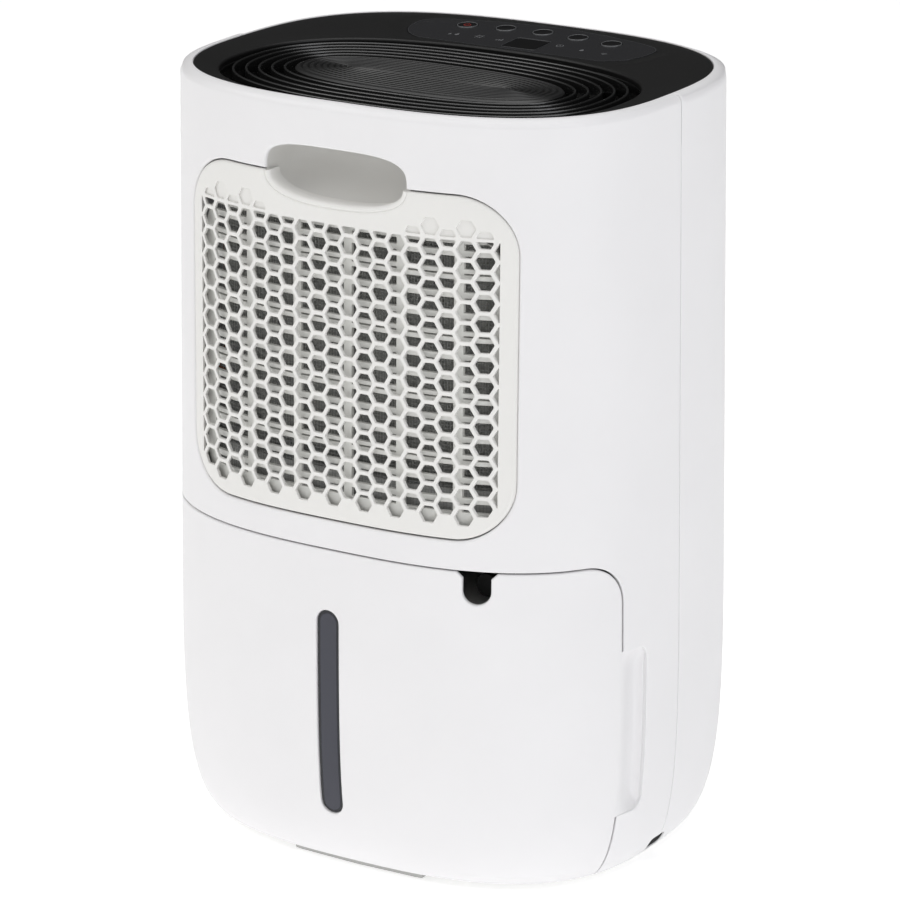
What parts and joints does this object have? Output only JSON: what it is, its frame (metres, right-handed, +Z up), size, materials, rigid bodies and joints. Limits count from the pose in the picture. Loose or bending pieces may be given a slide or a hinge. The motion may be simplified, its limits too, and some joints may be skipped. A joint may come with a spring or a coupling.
{
  "type": "portable dehumidifier",
  "caption": "Free-standing compressor dehumidifier with a tilting honeycomb intake grille, a sliding water tank and a top air outlet with push buttons.",
  "frame": {"origin": "centre of the object's plan box, on the floor under the feet", "axes": "+Z up; +Y towards the user's side with the buttons; -Y towards the intake grille and water tank; X is the width"},
  "size_m": [0.3182, 0.2655, 0.47],
  "materials": {
    "shell_white": "satin white ABS",
    "grille_white": "satin warm white ABS",
    "trim_black": "fine-grained satin black ABS",
    "panel_gloss": "gloss black acrylic overlay",
    "display_glass": "smoked display lens",
    "level_window": "smoked translucent sight window",
    "inner_grey": "moulded light grey plastic",
    "filter_net": "fine nylon net",
    "tank_clear": "natural polypropylene",
    "float_white": "foamed polypropylene",
    "rubber": "moulded black rubber",
    "steel": "zinc-plated steel",
    "motor_steel": "pressed steel motor can",
    "coil_aluminium": "mill-finish fins",
    "enamel": "black enamel",
    "copper": "drawn copper tube",
    "circuit_board": "green solder mask"
  },
  "bodies": {
    "casing": {"front_shell": "shell_white", "rear_shell": "shell_white", "base_tray": "inner_grey", "foot_strip_rear": "inner_grey", "foot_strip_front": "inner_grey", "base_screw_1": "steel", "base_screw_2": "steel", "base_screw_3": "steel", "base_screw_4": "steel", "cord_gland": "rubber", "top_cover": "trim_black", "outlet_grille": "trim_black", "outlet_plate": "trim_black", "hand_pocket": "shell_white", "control_panel": "panel_gloss", "display_window": "display_glass", "control_board": "circuit_board", "bay_partition": "inner_grey", "drip_tray": "inner_grey", "drain_spigot": "trim_black", "drain_cap": "rubber", "tank_switch": "trim_black", "evaporator_coil": "coil_aluminium", "condenser_coil": "coil_aluminium", "compressor": "enamel", "compressor_mount_1": "rubber", "compressor_mount_2": "rubber", "compressor_mount_3": "rubber", "accumulator": "enamel", "discharge_pipe": "copper", "suction_pipe": "copper", "capillary_tube": "copper", "filter_drier": "copper", "fan_housing": "inner_grey", "fan_motor": "motor_steel", "power_board": "circuit_board", "run_capacitor": "inner_grey", "humidity_sensor": "circuit_board"},
    "grille": {"intake_grille": "grille_white", "filter_frame": "inner_grey", "filter_net": "filter_net"},
    "tank": {"tank_front": "shell_white", "tank_bucket": "tank_clear", "tank_lid": "inner_grey", "level_window": "level_window", "float_pin": "steel"},
    "float": {"tank_float": "float_white"},
    "fan": {"fan_impeller": "trim_black", "fan_shaft": "steel"},
    "power_button": {"power_button": "panel_gloss"},
    "mode_button": {"mode_button": "panel_gloss"},
    "humidity_button": {"humidity_button": "panel_gloss"},
    "fan_button": {"fan_button": "panel_gloss"},
    "timer_button": {"timer_button": "panel_gloss"},
    "switch_lever": {"switch_lever": "steel"}
  },
  "joints": [
    {"name": "tank_slide", "type": "slide", "parent": "casing", "child": "tank", "axis": [0, -1, 0], "range_m": [0, 0.15]},
    {"name": "float_swing", "type": "hinge", "parent": "tank", "child": "float", "pos_m": [0.072, -0.048, 0.168], "axis": [-1, 0, 0], "range_deg": [0, 12]},
    {"name": "grille_tilt", "type": "hinge", "parent": "casing", "child": "grille", "pos_m": [0, -0.1318, 0.2235], "axis": [1, 0, 0], "range_deg": [0, 30]},
    {"name": "fan_spin", "type": "hinge", "parent": "casing", "child": "fan", "pos_m": [0, -0.02, 0.322], "axis": [0, 1, 0], "continuous": true},
    {"name": "power_button_press", "type": "slide", "parent": "casing", "child": "power_button", "axis": [0, 0, -1], "range_m": [0, 0.001], "stiffness_N_per_m": 1000},
    {"name": "mode_button_press", "type": "slide", "parent": "casing", "child": "mode_button", "axis": [0, 0, -1], "range_m": [0, 0.001], "stiffness_N_per_m": 1000},
    {"name": "humidity_button_press", "type": "slide", "parent": "casing", "child": "humidity_button", "axis": [0, 0, -1], "range_m": [0, 0.001], "stiffness_N_per_m": 1000},
    {"name": "fan_button_press", "type": "slide", "parent": "casing", "child": "fan_button", "axis": [0, 0, -1], "range_m": [0, 0.001], "stiffness_N_per_m": 1000},
    {"name": "timer_button_press", "type": "slide", "parent": "casing", "child": "timer_button", "axis": [0, 0, -1], "range_m": [0, 0.001], "stiffness_N_per_m": 1000},
    {"name": "lever_lift", "type": "hinge", "parent": "casing", "child": "switch_lever", "pos_m": [-0.0585, -0.034, 0.1868], "axis": [0, -1, 0], "range_deg": [0, 8], "stiffness_Nm_per_rad": 0.02}
  ]
}
